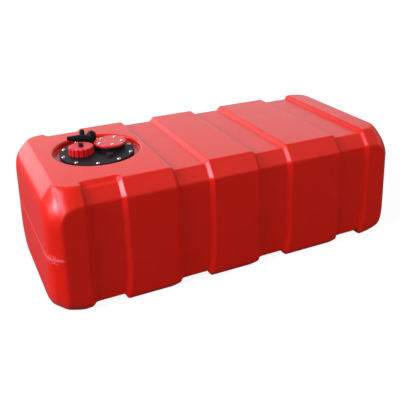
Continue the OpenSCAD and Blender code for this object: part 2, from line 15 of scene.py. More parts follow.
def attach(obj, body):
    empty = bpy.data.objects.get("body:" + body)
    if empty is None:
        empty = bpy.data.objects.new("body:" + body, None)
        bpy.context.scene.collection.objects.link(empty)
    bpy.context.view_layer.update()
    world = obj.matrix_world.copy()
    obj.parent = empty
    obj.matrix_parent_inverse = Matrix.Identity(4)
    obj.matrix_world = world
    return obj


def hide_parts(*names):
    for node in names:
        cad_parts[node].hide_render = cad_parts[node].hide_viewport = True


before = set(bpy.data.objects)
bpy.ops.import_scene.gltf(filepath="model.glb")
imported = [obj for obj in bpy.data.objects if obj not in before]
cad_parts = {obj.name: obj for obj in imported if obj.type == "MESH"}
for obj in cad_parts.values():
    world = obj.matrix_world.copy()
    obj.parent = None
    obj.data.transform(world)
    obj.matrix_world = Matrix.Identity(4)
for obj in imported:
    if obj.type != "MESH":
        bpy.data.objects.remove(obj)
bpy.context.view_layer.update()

MM = 0.001

# Tank body
HALF_L, HALF_W, TOP, WALL = 426.0, 200.0, 272.0, 6.0
BEVEL_Y, BEVEL_Z, CREASE = 27.0, 33.0, 5.0
PANEL_R, BASE_R, GROOVE_BASE_R = 40.0, 14.0, 5.0
PATCH_ARM = 0.43
MITRE = math.tan(math.radians(22.5))

# Ends of the body: the bevel round each end face, and the face's own corners, foot and crease
END_RUN, END_SIDE, END_DROP = 29.0, 28.0, 32.0
END_R, END_BASE_R, END_CREASE = 40.0, 68.0, 13.0
PANEL_END = HALF_L - END_RUN
END_BEVEL_L = math.hypot(END_RUN, END_SIDE)
END_EDGE = PANEL_END + END_BEVEL_L
END_SPAN = 150.0
# How far ahead of the end bevel the foot starts to round off, and how softly
FOOT_EARLY, FOOT_EASE = 40.0, 0.3
# How softly the end creases roll over, and how far the end faces lean in over the tank's height
END_SOFT, END_LEAN = 28.0, 3.0
SOFT_GROWTH, SOFT_FADE, SOFT_STEPS, SOFT_LEAST = 0.4, 3, 13, 0.1

# Mould seam on the end by the fitting plate, and the scar on it at the near corner. Each pair says
# where a mark begins to show and where it shows in full.
SEAM_Z, SEAM_WANDER, MARK_TONE = 129.0, 1.2, 0.65
SEAM_X, SEAM_HALF = (-392.0, -402.0), (3.6, 1.2)
SCAR_X, SCAR_Y, SCAR_HALF = (-404.0, -412.0), (-120.0, -136.0), (13.0, 6.0)
SCAR_CHIPS = (0.44, 0.60)

# Strap grooves: where each starts along the tank; the first keeps its top for the fittings
PAD_GROOVE = -347.0
STRAP_GROOVES = (-152.0, 43.0, 260.0)
ALL_GROOVES = (PAD_GROOVE, *STRAP_GROOVES)
GROOVE_W, GROOVE_DEPTH, GROOVE_RUN, GROOVE_EASE, PAD_RUN = 87.0, 9.0, 9.0, 0.2, 12.0
# Under the tank a groove is deeper and starts earlier; its far wall leans towards the foot
UNDER_DEPTH, UNDER_EARLY, UNDER_EASE = 12.0, 15.0, 0.35
WALL_LEAN, LEAN_TOP, LEAN_REACH = 10.0, 85.0, 45.0

# Points across one half of the body's outline, from the middle of its foot to the middle of its top
FOOT_N, ARC_N, SIDE_N, CREASE_N, BEVEL_N, PAD_N, TOP_N = 8, 9, 24, 6, 9, 8, 16
# Rings along the body: a share past each groove wall, those between the grooves, those where a
# groove begins under the tank, the least step, and the last share of an end face that has a ring
WALL_PAST, PANEL_REACH, PANEL_STEP, LEAST_STEP, LAST_RING = 0.3, 350, 17.5, 0.4, 0.94
EARLY_RINGS = (4, 7, 10, 13, 16, 20)

# Recess, and the opening in the top panel that is filled again up to the recess's lip
PLATE_AT = (-260.0, 11.0)
SEAT_Z, RECESS_R, LIP_R, PORT_R, WELL_R = 260.0, 98.0, 6.0, 70.0, 104.0
INSERT_RING_R, INSERT_RING_Z = 88.5, 242.0
RECESS_STEPS = 160
MOUTH_HALF, MOUTH_MARGIN_X, MOUTH_MARGIN_Y = RECESS_R + LIP_R + 2, 10.0, 12.0

# Fitting plate with the locating ring under it; joined forms run OVERLAP into one another, and the
# tools that cut holes run CUT_PAST beyond them
OVERLAP, CUT_PAST = 1.0, 4.0
PLATE_Z, PLATE_TOP, PLATE_R = 262.0, 267.0, 84.0
LOCATE_R, LOCATE_WALL, LOCATE_Z = PORT_R - 0.3, 4.0, PLATE_Z - 6
PLATE_SCREWS = {"count": 10, "ring": 78.0, "turn": 4.0, "head_r": 4.5, "head_h": 3.2,
                "shank_r": 3.0, "shank_l": 15.0, "socket_r": 1.7, "plate_hole_r": 3.3}
# Every screw: depth of its socket and shares of the socket's radius; the head's upright rim as a
# share of its height, the turn of its dome and its small chamfer; the tip's share of the shank
SOCKET_DEPTH, SOCKET_MOUTH, SOCKET_ZONE, SOCKET_SPREAD = 1.6, 1.12, 1.2, 1.08
HEAD_RIM, HEAD_DOME, HEAD_EDGE, TIP_R = 0.25, 66.0, 0.2, 0.7

# Filler neck, cap and vent knob; a root is a flare of (radius, height, rounding) above the plate
CAP_AT = (-295.5, 12.0)
NECK_R, NECK_BORE_R, NECK_TOP = 22.0, 18.0, 277.0
NECK_ROOT = ((2.0, -OVERLAP, 0), (1.2, 0, 0), (0, 1.4, 1.5))
CAP_R, CAP_Z, CAP_FACE, CAP_EDGE_R = 28.0, 267.5, 285.2, 2.2
CAP_BORE_R, CAP_ROOF, CAP_MARGIN, FACE_RINGS, RIM_RINGS = 22.6, 279.0, 3.0, 12, 5
CAP_FLUTES, FLUTE_DEPTH, FLUTE_RUN, FLUTE_CREST = 16, 2.6, 3.0, (-0.15, 0.95)
VENT_SEAT_R, VENT_SEAT_Z = 7.5, 284.2
CHANNEL_TURN, CHANNEL_HALF, CHANNEL_DEPTH, CHANNEL_SLOPE = 200.0, 1.2, 1.0, 2.2
KNOB_Z, KNOB_COLLAR_R, KNOB_COLLAR_H = 285.3, 5.5, 2.5
KNOB_POST_R, KNOB_POST_H, KNOB_SHANK_R = (3.4, 3.0), 2.6, 2.9
WING_L, WING_T, WING_H, WING_TURN = 12.0, 4.0, 4.2, -35.0
WING_TOP, WING_FOOT = (0.96, 0.78), (0.62, 1.0)

# Sender cover on its pedestal
SENDER_AT = (-225.0, 22.5)
PEDESTAL_R, PEDESTAL_TOP, SENDER_HOLE_R = 34.0, 275.0, 20.0
PEDESTAL_ROOT = ((1.0, -OVERLAP, 0), (0, 0.8, 1.0))
COVER_R, COVER_Z, COVER_TOP, COVER_HOLE_R = 36.5, 277.0, 281.5, 2.8
SENDER_SCREWS = {"count": 5, "ring": 27.0, "turn": -23.0, "head_r": 4.2, "head_h": 2.6,
                 "shank_r": 2.5, "shank_l": 12.0, "socket_r": 1.4, "plate_hole_r": 3.7}

# Fuel elbow; its hose tail is (radius, length, rounding) from the elbow's axis to the barbed tip
ELBOW_AT, ELBOW_Z, TAIL_Z, DOME_Z = (-258.0, 60.0), 268.5, 281.0, 289.5
ELBOW_R, ELBOW_COLLAR_R, ELBOW_COLLAR_H = 11.0, 12.0, 4.0
ELBOW_SHANK_R, ELBOW_HOLE_R, SHANK_END, TAIL_TILT = 7.9, 8.05, 254.0, 10.0
HOSE_TAIL = ((0, 0, 0), (10.6, 0, 0), (9.6, 17, 3), (8.6, 33.5, 1), (6.4, 41, 0.4),
             (6.8, 41.8, 0.3), (6.8, 44.4, 0.3), (5.0, 49, 0.4), (5.6, 49.8, 0.3), (5.6, 52.4, 0.3),
             (4.3, 57.4, 0.4), (3, 57.4, 0.3), (3, 40, 0), (0, 40, 0))

# Vent spigot and return plug, as (radius, height, rounding) above the washers on their bosses
VENT_AT, PLUG_AT, PORT_SEAT_Z = (-276.0, 74.0), (-243.0, -33.0), 270.0
PORT_BOSS_R, PORT_BOSS_TOP, PORT_HOLE_R = 8.5, 269.0, 5.0
PORT_ROOT = ((0.7, -OVERLAP, 0), (0, 0.7, 0.6))
VENT_SPIGOT = ((3.2, -8, 0), (5, -8, 0), (5, 0, 0), (8.4, 0, 0.4), (8.4, 4, 0.9), (5, 4.5, 0.8),
               (5, 19, 0.8), (6.3, 22, 0.6), (6.3, 25, 0.6), (4.4, 31, 0.5), (3.2, 31, 0.3))
PLUG_FLANGE = ((0, -8, 0), (4.9, -8, 0.5), (4.9, 0, 0), (7.9, 0, 0.3), (7.9, 1, 0.3), (0, 1, 0))
PLUG_HEAD = ((0, 0.5, 0), (8.08, 0.5, 0), (8.08, 2.2, 0), (7, 3, 0), (0, 3, 0))
PLUG_FLAT = 7.0

# Studio, in metres: how bright the floor looks near the tank and from where it looks white, the
# fill light, how much of the white air shows in gloss, and the tints of the lamps
FLOOR_HALF, FLOOR_LIFT, FLOOR_NEAR, FLOOR_FAR = 30.0, 0.9, 0.7, 1.5
FILL, AIR_IN_GLOSS = 0.35, 0.4
PLAIN, PINK, FAINT_PINK = (1.0, 1.0, 1.0), (1.0, 0.8, 1.0), (1.0, 0.92, 1.0)

# Camera, matched to the photograph's view: place in metres, turns in degrees, focus in pixels
CAMERA_AT = (-0.5905, -1.3020, 0.7734)
CAMERA_YAW, CAMERA_PITCH, CAMERA_ROLL = (math.radians(v) for v in (25.445, 19.18, -1.16))
CAMERA_FOCUS, PICTURE_W, SENSOR_W = 624.95, 400, 36
CAMERA_SHIFT = (-0.03375, -0.175)


def metres(*lengths):
    """Lengths in metres, from millimetres."""
    return [v * MM for v in lengths]


# Outline and loft of the tank body

def eased(t, f):
    """Ramp from 0 to 1 with its two corners eased over the share f."""
    if t <= -f:
        return 0.0
    if t < f:
        return (t + f) ** 2 / (4 * f)
    if t <= 1 - f:
        return t
    return 1 - (1 + f - t) ** 2 / (4 * f) if t < 1 + f else 1.0


def groove_share(x, starts, early=0.0, ease=GROOVE_EASE):
    """Share of the full groove depth at station x, for grooves whose first wall may start early."""
    return max(min(eased((x - g + early) / (GROOVE_RUN + early), ease),
                   eased((g + GROOVE_W - x) / GROOVE_RUN, GROOVE_EASE)) for g in starts)


def wall_lean(x):
    """How far a groove's far wall is drawn along the tank at its foot, fading to each side."""
    far_walls = (g + GROOVE_W - GROOVE_RUN / 2 for g in ALL_GROOVES)
    away = min(abs(x - wall) for wall in far_walls) / LEAN_REACH
    return WALL_LEAN * max(1 - away ** 2, 0) ** 2


def curve(points, t):
    """Bezier curve through its control points, at the shares t."""
    points, t = [np.asarray(p, float) for p in points], np.asarray(t)[:, None]
    while len(points) > 1:
        points = [p * (1 - t) + q * t for p, q in zip(points, points[1:])]
    return points[0]


def half_outline(y, low, base, a, b, k, top, soft, soft_top):
    """Half of the outline as (y, z) points, with its bevel from a to b drawn out towards k."""
    a, b, k = np.array(a), np.array(b), np.array(k)
    arms = (a, a + PATCH_ARM * (k - a), b + PATCH_ARM * (k - b), b)
    edge, edge_top = soft / np.linalg.norm(b - a), soft_top / np.linalg.norm(b - a)
    turn = np.linspace(0, math.pi / 2, ARC_N)
    low_edge, high_edge = curve(arms, [edge])[0], curve(arms, [1 - edge_top])[0]
    crease = np.linspace(0, 1, CREASE_N)
    pad = np.linspace(0, 1, PAD_N + 1)[1:]
    pad_rise = (top - b[1]) * pad ** 2 * (3 - 2 * pad)
    pad_start = b[0] - soft_top
    return np.concatenate([
        np.column_stack([np.linspace(0, y - base, FOOT_N, endpoint=False), np.full(FOOT_N, low)]),
        np.column_stack([y - base + base * np.sin(turn), low + base - base * np.cos(turn)]),
        np.column_stack([np.full(SIDE_N, y),
                         np.linspace(low + base, a[1] - soft, SIDE_N + 2)[1:-1]]),
        curve((a - [0, soft], a, low_edge), crease),
        curve(arms, np.linspace(edge, 1 - edge_top, BEVEL_N + 2)[1:-1]),
        curve((high_edge, b, b - [soft_top, 0]), crease),
        np.column_stack([pad_start - PAD_RUN * pad, b[1] + pad_rise]),
        np.column_stack([np.linspace(pad_start - PAD_RUN, 0, TOP_N + 1)[1:], np.full(TOP_N, top)]),
    ])


def panel_corners(x, skin):
    """Corners of the half outline between the end bevels: side and top, the two ends of the long
    bevel, and the point that it is drawn to.
    """
    side_cut = skin + GROOVE_DEPTH * groove_share(x, ALL_GROOVES)
    top_cut = skin + GROOVE_DEPTH * groove_share(x, STRAP_GROOVES)
    reach = min(max(abs(x) - PANEL_END + PANEL_R, 0), PANEL_R)
    left = math.sqrt(PANEL_R ** 2 - reach ** 2)
    grow = PANEL_R - left
    y = HALF_W - side_cut
    a = np.array((y, TOP - BEVEL_Z - MITRE * side_cut - grow))
    b = np.array((HALF_W - BEVEL_Y - MITRE * side_cut - grow, TOP - side_cut))
    flat = 2 * left / (PANEL_R + left)
    k = flat * (a + b) / 2 + (1 - flat) * np.array((a[0], b[1]))
    return np.array((np.array((y, TOP - top_cut)), a, b, k))


def end_corners(skin):
    """The same corners for an end face."""
    y, top = HALF_W - END_SIDE - skin, TOP - END_DROP - skin
    return np.array(((y, top), (y, top - END_R), (y - END_R, top), (y, top)))


def body_path(s, side, skin):
    """Half outline as (x, y, z) at the place s on the way from the tank's middle to the centre of
    an end face.
    """
    share = min(max((s - PANEL_END) / END_BEVEL_L, 0), 1)
    x = side * min(s, PANEL_END)
    (y, top), a, b, k = panel_corners(x, skin) * (1 - share) + end_corners(skin) * share
    low = skin + UNDER_DEPTH * groove_share(x, ALL_GROOVES, UNDER_EARLY, UNDER_EASE)
    rise = eased((s - PANEL_END + FOOT_EARLY) / (END_BEVEL_L + FOOT_EARLY), FOOT_EASE)
    base = max(BASE_R - low, GROOVE_BASE_R) + (END_BASE_R - BASE_R) * rise
    top_crease = CREASE + (END_CREASE - CREASE) * rise
    flat = half_outline(y, low, base, a, b, k, top, CREASE, top_crease)
    if s > END_EDGE:
        centre = np.array((0, TOP / 2))
        flat = centre + (flat - centre) * (1 - (s - END_EDGE) / END_SPAN)
    out = abs(x) + share * (END_RUN - skin - END_LEAN * flat[:, 1] / TOP)
    lean = wall_lean(x) * np.clip(1 - flat[:, 1] / LEAN_TOP, 0, 1) ** 2
    return np.column_stack((side * out - lean, flat))


def body_ring(s, side, skin, soft):
    """Closed ring at path place s, averaged a little way along the path so that the end creases
    are soft.
    """
    reach = min(soft, max(SOFT_GROWTH * (s - PANEL_END + soft), 0),
                max(END_EDGE + SOFT_FADE * soft - s, 0))
    if reach > 0:
        steps = np.linspace(-1, 1, SOFT_STEPS)
        weights = (1 - np.abs(steps)) + SOFT_LEAST
        half = sum(w * body_path(s + reach * d, side, skin) for d, w in zip(steps, weights))
        half = half / weights.sum()
    else:
        half = body_path(s, side, skin)
    return np.concatenate([half, half[-2:0:-1] * [1, -1, 1]])


def body_stations(fine):
    """Signed path places of the rings, from the centre of one end face to the other."""
    wall_n, corner_n = (13, 15) if fine else (3, 4)
    wall = GROOVE_RUN * np.linspace(-WALL_PAST, 1 + WALL_PAST, wall_n)
    across = [PLATE_AT[0] - MOUTH_HALF, PLATE_AT[0] + MOUTH_HALF]
    for g in ALL_GROOVES:
        across += [*(g + wall), *(g + GROOVE_W - wall)]
    if fine:
        across += [*np.arange(-PANEL_REACH, PANEL_REACH + 1, PANEL_STEP)]
        across += [g - early for g in STRAP_GROOVES for early in EARLY_RINGS]
    across = sorted(across)
    kept = [across[0]]
    for x in across[1:]:
        if x - kept[-1] > LEAST_STEP:
            kept.append(x)
    inside = [x for x in kept if abs(x) < PANEL_END - PANEL_R + 1]

    turn = np.radians(np.linspace(3, 87, corner_n))
    last = END_EDGE + LAST_RING * END_SPAN
    end = [*(PANEL_END - PANEL_R + PANEL_R * np.sin(turn))]
    if fine:
        end += [*np.linspace(PANEL_END, END_EDGE - END_SOFT - 2, 11),
                *np.linspace(END_EDGE - END_SOFT, END_EDGE + 2 * END_SOFT, 20),
                *np.linspace(END_EDGE + 2 * END_SOFT + 6, last, 9)]
    else:
        end += [PANEL_END, END_EDGE, END_EDGE + 0.5 * END_SPAN, last]
    return [*(-s for s in reversed(end)), *inside, *end]


def joined(bm, low, high):
    """Faces between two rings, of which one may be a single point."""
    steps = max(len(low), len(high))
    made = []
    for i in range(steps):
        n = (i + 1) % steps
        corners = (low[i % len(low)], low[n % len(low)], high[n % len(high)], high[i % len(high)])
        made.append(bm.faces.new(list(dict.fromkeys(corners))))
    return made


def in_mouth(point, skin):
    """Whether a point lies on the top panel, in the area that is opened for the recess."""
    x, y = point.x - PLATE_AT[0], point.y - PLATE_AT[1]
    return (point.z > TOP - skin - 0.01 and -MOUTH_HALF - MOUTH_MARGIN_X < x < MOUTH_HALF + 0.1
            and abs(y) < MOUTH_HALF + MOUTH_MARGIN_Y)


def loft_skin(bm, skin, fine):
    """Adds one skin of the body, open over the fitting plate; returns all open edges."""
    soft = END_SOFT if fine else 0
    rows = [[bm.verts.new(p * MM) for p in body_ring(abs(s), 1 if s > 0 else -1, skin, soft)]
            for s in body_stations(fine)]
    faces = [face for row, after in zip(rows, rows[1:]) for face in joined(bm, row, after)]
    for row in (rows[0], rows[-1]):
        middle = bm.verts.new(sum((v.co for v in row), Vector()) / len(row))
        joined(bm, [middle], row)
    mouth = [face for face in faces if all(in_mouth(v.co / MM, skin) for v in face.verts)]
    bmesh.ops.delete(bm, geom=mouth, context="FACES")
    return [e for e in bm.edges if e.is_boundary]


def ring_of(bm, radius, z, at, steps):
    """A closed ring of vertices."""
    turns = [2 * math.pi * i / steps for i in range(steps)]
    return [bm.verts.new(metres(at[0] + radius * math.cos(t), at[1] + radius * math.sin(t), z))
            for t in turns]


def ring_edges(bm, ring):
    """The edges along a closed ring of vertices."""
    return [bm.edges.get(pair) for pair in zip(ring, ring[1:] + ring[:1])]


def softened(corners, steps=5):
    """Profile from (radius, height, rounding) corners, each rounded by that much."""
    out = []
    for i, (r, z, soft) in enumerate(corners):
        here = np.array([r, z], float)
        if not soft or i in (0, len(corners) - 1):
            out.append(tuple(here))
            continue
        back, ahead = (np.array(corners[n][:2]) - here for n in (i - 1, i + 1))
        back, ahead = back / np.linalg.norm(back), ahead / np.linalg.norm(ahead)
        half = math.acos(np.clip(np.dot(back, ahead), -1, 1)) / 2
        reach = soft / math.tan(half)
        bend = (here + back * reach, here, here + ahead * reach)
        out += [tuple(p) for p in curve(bend, np.linspace(0, 1, steps))]
    return out


def tank_body():
    """The hollow body in one closed mesh: outer skin, recess with its rolled lip, seat, ring for
    the inserts and inner skin.
    """
    bm = bmesh.new()
    outer_mouth = loft_skin(bm, 0, True)
    under = SEAT_Z - WALL
    profile = softened([
        (RECESS_R + LIP_R, TOP, 0), (RECESS_R, TOP, LIP_R), (RECESS_R, SEAT_Z, 2.5),
        (PORT_R, SEAT_Z, 0.8), (PORT_R, INSERT_RING_Z, 0), (INSERT_RING_R, INSERT_RING_Z, 0),
        (INSERT_RING_R, under, 0), (WELL_R, under, 0), (WELL_R, TOP - WALL, 0)], steps=9)
    rings = [ring_of(bm, r, z, PLATE_AT, RECESS_STEPS) for r, z in profile]
    for low, high in zip(rings, rings[1:]):
        joined(bm, low, high)
    lip, well = ring_edges(bm, rings[0]), ring_edges(bm, rings[-1])
    known = {*outer_mouth, *lip, *well}
    inner_mouth = [e for e in loft_skin(bm, WALL, False) if e not in known]
    for edges in (outer_mouth + lip, inner_mouth + well):
        bmesh.ops.triangle_fill(bm, use_beauty=True, edges=edges)
    return bm


# Meshes of the fittings

def turned(bm, profile, at=(0, 0), steps=96):
    """Adds a profile of (radius, height) points turned round an upright axis: one that starts and
    ends on the axis, or a closed loop.
    """
    rings = [ring_of(bm, r, z, at, steps) if r else [bm.verts.new(metres(*at, z))]
             for r, z in profile]
    pairs = list(zip(rings, rings[1:]))
    if len(rings[0]) > 1:
        pairs.append((rings[-1], rings[0]))
    for low, high in pairs:
        joined(bm, low, high)
    return bm


def form(profile, at=(0, 0), steps=96):
    """A turned form of its own."""
    return turned(bmesh.new(), profile, at, steps)


def cylinder(radius, low, high):
    """Profile of a plain cylinder."""
    return [(0, low), (radius, low), (radius, high), (0, high)]


def lifted(corners, z):
    """The same profile corners, raised by z."""
    return [(r, z + height, soft) for r, height, soft in corners]


def mesh_of(bm, name):
    """Finished mesh from a bmesh, its faces outward."""
    bmesh.ops.recalc_face_normals(bm, faces=bm.faces)
    mesh = bpy.data.meshes.new(name)
    bm.to_mesh(mesh)
    bm.free()
    return mesh


def shown(name, mesh):
    """Object of a mesh, at the origin, in the scene."""
    obj = bpy.data.objects.new(name, mesh)
    bpy.context.collection.objects.link(obj)
    return obj


def made_plain(obj):
    """Turns what the object's modifiers give into its own mesh and removes the modifiers."""
    graph = bpy.context.evaluated_depsgraph_get()
    mesh = bpy.data.meshes.new_from_object(obj.evaluated_get(graph))
    mesh.name = obj.name
    obj.modifiers.clear()
    obj.data = mesh
    return obj


def smoothed(obj, angle=38):
    """Smooth shading up to an angle, led by the large faces."""
    obj.data.shade_smooth()
    obj.data.set_sharp_from_angle(angle=math.radians(angle))
    lead = obj.modifiers.new("lead", "WEIGHTED_NORMAL")
    lead.keep_sharp = True
    return made_plain(obj)


def combined(name, forms, cutters=()):
    """One closed piece from overlapping forms, less the cutters."""
    base = shown(name, mesh_of(forms[0], name))
    tools = []
    for part, how in [*((f, "UNION") for f in forms[1:]), *((c, "DIFFERENCE") for c in cutters)]:
        tool = shown(name + "_tool", mesh_of(part, name + "_tool"))
        work = base.modifiers.new(how.lower(), "BOOLEAN")
        work.operation, work.object, work.solver = how, tool, "EXACT"
        tools.append(tool)
    made_plain(base)
    for tool in tools:
        bpy.data.objects.remove(tool)
    return base


def grown_together(name, bm, cell, rounds):
    """One skin over overlapping closed forms, with inner corners filled as a mould fills them."""
    obj = shown(name, mesh_of(bm, name))
    skin = obj.modifiers.new("skin", "REMESH")
    skin.mode, skin.voxel_size = "VOXEL", cell * MM
    soft = obj.modifiers.new("soft", "SMOOTH")
    soft.factor, soft.iterations = 0.5, rounds
    made_plain(obj)
    obj.data.shade_smooth()
    return obj


def screw_spots(screws, at):
    """Where the screws of a ring stand."""
    count, ring = screws["count"], screws["ring"]
    turns = [math.radians(screws["turn"] + 360 * i / count) for i in range(count)]
    return [(at[0] + ring * math.cos(t), at[1] + ring * math.sin(t)) for t in turns]


def from_flat(arm):
    """Angle of a point from the middle of the hexagon side that it lies behind."""
    return (math.atan2(arm.y, arm.x) + math.pi / 6) % (math.pi / 3) - math.pi / 6


def plate_boss(radius, top, soft, root, at, steps=96):
    """Round boss that rises from inside the plate on a flared root."""
    flare = [(radius + r, PLATE_TOP + z, rounding) for r, z, rounding in root]
    sunk = PLATE_TOP - OVERLAP
    return form(softened([(0, sunk, 0), *flare, (radius, top, soft), (0, top, 0)]), at, steps)


def fitting_plate():
    """Moulded plate with its locating ring, filler neck, sender pedestal and two port bosses."""
    disc = form(softened([(0, PLATE_Z, 0), (PLATE_R, PLATE_Z, 0.4), (PLATE_R, PLATE_TOP, 1.5),
                          (0, PLATE_TOP, 0)]), PLATE_AT, steps=160)
    ring_in, ring_top = LOCATE_R - LOCATE_WALL, PLATE_Z + OVERLAP
    ring = form([(LOCATE_R, LOCATE_Z), (LOCATE_R, ring_top), (ring_in, ring_top),
                 (ring_in, LOCATE_Z)], PLATE_AT, steps=128)
    neck = plate_boss(NECK_R, NECK_TOP, 0.8, NECK_ROOT, CAP_AT)
    pedestal = plate_boss(PEDESTAL_R, PEDESTAL_TOP, 0.4, PEDESTAL_ROOT, SENDER_AT)
    bosses = [plate_boss(PORT_BOSS_R, PORT_BOSS_TOP, 0.4, PORT_ROOT, at, steps=48)
              for at in (VENT_AT, PLUG_AT)]
    holes = [(NECK_BORE_R, CAP_AT, 96), (SENDER_HOLE_R, SENDER_AT, 96),
             (ELBOW_HOLE_R, ELBOW_AT, 64), (PORT_HOLE_R, VENT_AT, 48), (PORT_HOLE_R, PLUG_AT, 48)]
    for screws, at in ((PLATE_SCREWS, PLATE_AT), (SENDER_SCREWS, SENDER_AT)):
        holes += [(screws["plate_hole_r"], spot, 24) for spot in screw_spots(screws, at)]
    cutters = [form(cylinder(r, LOCATE_Z - CUT_PAST, NECK_TOP + CUT_PAST), at, steps)
               for r, at, steps in holes]
    forms = [disc, ring, neck, pedestal, *bosses]
    return smoothed(combined("fitting_plate_moulding", forms, cutters))


def filler_cap():
    """Screw cap: a turned blank whose rim is fluted afterwards, with a vent seat and a vent channel
    to its rim.
    """
    outline = softened([
        (0, VENT_SEAT_Z, 0), (VENT_SEAT_R, VENT_SEAT_Z, 0.5), (VENT_SEAT_R, CAP_FACE, 0.3),
        (CAP_R, CAP_FACE, CAP_EDGE_R), (CAP_R, CAP_Z, 0.7), (CAP_BORE_R, CAP_Z, 0.6),
        (CAP_BORE_R, CAP_ROOF, 0.4), (0, CAP_ROOF, 0)], steps=7)
    # More rings across the face and down the rim, for the channel and the flutes to move
    face = [(r, CAP_FACE) for r in np.linspace(VENT_SEAT_R + 1, CAP_R - CAP_MARGIN, FACE_RINGS)]
    sides = [(CAP_R, z) for z in np.linspace(CAP_FACE - CAP_MARGIN, CAP_Z + 1.5, RIM_RINGS)]
    cut = next(i for i, p in enumerate(outline) if p[0] > VENT_SEAT_R + 2)
    skirt = next(i for i, p in enumerate(outline) if i > cut and p[1] < CAP_Z + 2)
    profile = [*outline[:cut], *face, *outline[cut:skirt], *sides, *outline[skirt:]]
    bm = form(profile, CAP_AT, steps=384)
    turn = math.radians(CHANNEL_TURN)
    ray = Vector((math.cos(turn), math.sin(turn)))
    for v in bm.verts:
        arm = (v.co.xy - Vector(CAP_AT) * MM) / MM
        along, off = arm.dot(ray), abs(arm.x * ray.y - arm.y * ray.x)
        on_face = along > VENT_SEAT_R + 0.6 and v.co.z / MM > CAP_FACE - CAP_EDGE_R
        if on_face and off < CHANNEL_HALF:
            v.co.z -= CHANNEL_DEPTH * MM * min(1, CHANNEL_SLOPE * (1 - off / CHANNEL_HALF))
    return shown("filler_cap_moulding", mesh_of(bm, "filler_cap_moulding"))


def vent_knob():
    """Vent screw with a collar and a thumb wing."""
    collar = KNOB_Z + KNOB_COLLAR_H
    post = collar + KNOB_POST_H
    bm = form(softened([
        (0, KNOB_Z, 0), (KNOB_COLLAR_R, KNOB_Z, 0.4), (KNOB_COLLAR_R, collar, 0.8),
        (KNOB_POST_R[0], collar + 0.4, 0.5), (KNOB_POST_R[1], post, 0.5), (0, post, 0)]),
        CAP_AT, steps=48)
    low, high = KNOB_Z + OVERLAP, collar + WING_H
    turned(bm, cylinder(KNOB_SHANK_R, CAP_ROOF, low), CAP_AT, steps=32)
    wing = bmesh.ops.create_cube(bm, size=1)["verts"]
    for v in wing:
        taper = WING_TOP if v.co.z > 0 else WING_FOOT
        v.co.x *= taper[0]
        v.co.y *= taper[1]
    place = (Matrix.Translation(metres(*CAP_AT, (low + high) / 2))
             @ Matrix.Rotation(math.radians(WING_TURN), 4, "Z")
             @ Matrix.Diagonal((*metres(WING_L, WING_T, high - low), 1)))
    bmesh.ops.transform(bm, matrix=place, verts=wing)
    return grown_together("vent_knob_moulding", bm, cell=0.3, rounds=4)


def sender_cover():
    """Cover disc with five screw holes."""
    disc = form(softened([(0, COVER_Z, 0), (COVER_R, COVER_Z, 0.4), (COVER_R, COVER_TOP, 1.2),
                          (0, COVER_TOP, 0)]), SENDER_AT, steps=128)
    hole = cylinder(COVER_HOLE_R, COVER_Z - CUT_PAST, COVER_TOP + CUT_PAST)
    holes = [form(hole, spot, steps=24) for spot in screw_spots(SENDER_SCREWS, SENDER_AT)]
    return smoothed(combined("sender_cover_moulding", [disc], holes))


def fuel_elbow():
    """Elbow with a domed top, a collar on its washer and a hose tail that tilts up and ends in a
    barbed cone.
    """
    collar = ELBOW_Z + ELBOW_COLLAR_H
    foot = softened([(0, ELBOW_Z, 0), (ELBOW_COLLAR_R, ELBOW_Z, 0.5), (ELBOW_COLLAR_R, collar, 1),
                     (ELBOW_R, collar, 0)])
    dome = [(ELBOW_R * math.cos(t), DOME_Z + ELBOW_R * math.sin(t))
            for t in np.linspace(0, math.pi / 2, 10)[:-1]]
    bm = form([*foot, *dome, (0, DOME_Z + ELBOW_R)], ELBOW_AT, steps=64)
    turned(bm, cylinder(ELBOW_SHANK_R, SHANK_END, ELBOW_Z + OVERLAP), ELBOW_AT, steps=48)
    tail = form(softened(HOSE_TAIL), steps=48)
    place = (Matrix.Translation(metres(*ELBOW_AT, TAIL_Z))
             @ Matrix.Rotation(math.radians(TAIL_TILT - 90), 4, "Y"))
    bmesh.ops.transform(tail, matrix=place, verts=tail.verts)
    part = mesh_of(tail, "tail")
    bm.from_mesh(part)
    bpy.data.meshes.remove(part)
    return grown_together("fuel_elbow_moulding", bm, cell=0.45, rounds=4)


def vent_spigot():
    """Upright hose spigot with a round collar and one bead."""
    bm = form(softened(lifted(VENT_SPIGOT, PORT_SEAT_Z)), VENT_AT, steps=64)
    return smoothed(shown("vent_spigot_moulding", mesh_of(bm, "vent_spigot_moulding")))


def return_plug():
    """Hexagon plug on its seal, with a washer face and chamfered corners."""
    flange = form(softened(lifted(PLUG_FLANGE, PORT_SEAT_Z)), PLUG_AT, steps=48)
    head = form(softened(lifted(PLUG_HEAD, PORT_SEAT_Z)), PLUG_AT, steps=96)
    for v in head.verts:
        arm = v.co.xy - Vector(PLUG_AT) * MM
        if arm.length > 0:
            shrink = min(1, PLUG_FLAT * MM / (arm.length * math.cos(from_flat(arm))))
            v.co.xy = Vector(PLUG_AT) * MM + arm * shrink
    return smoothed(combined("return_plug_moulding", [flange, head]), angle=28)


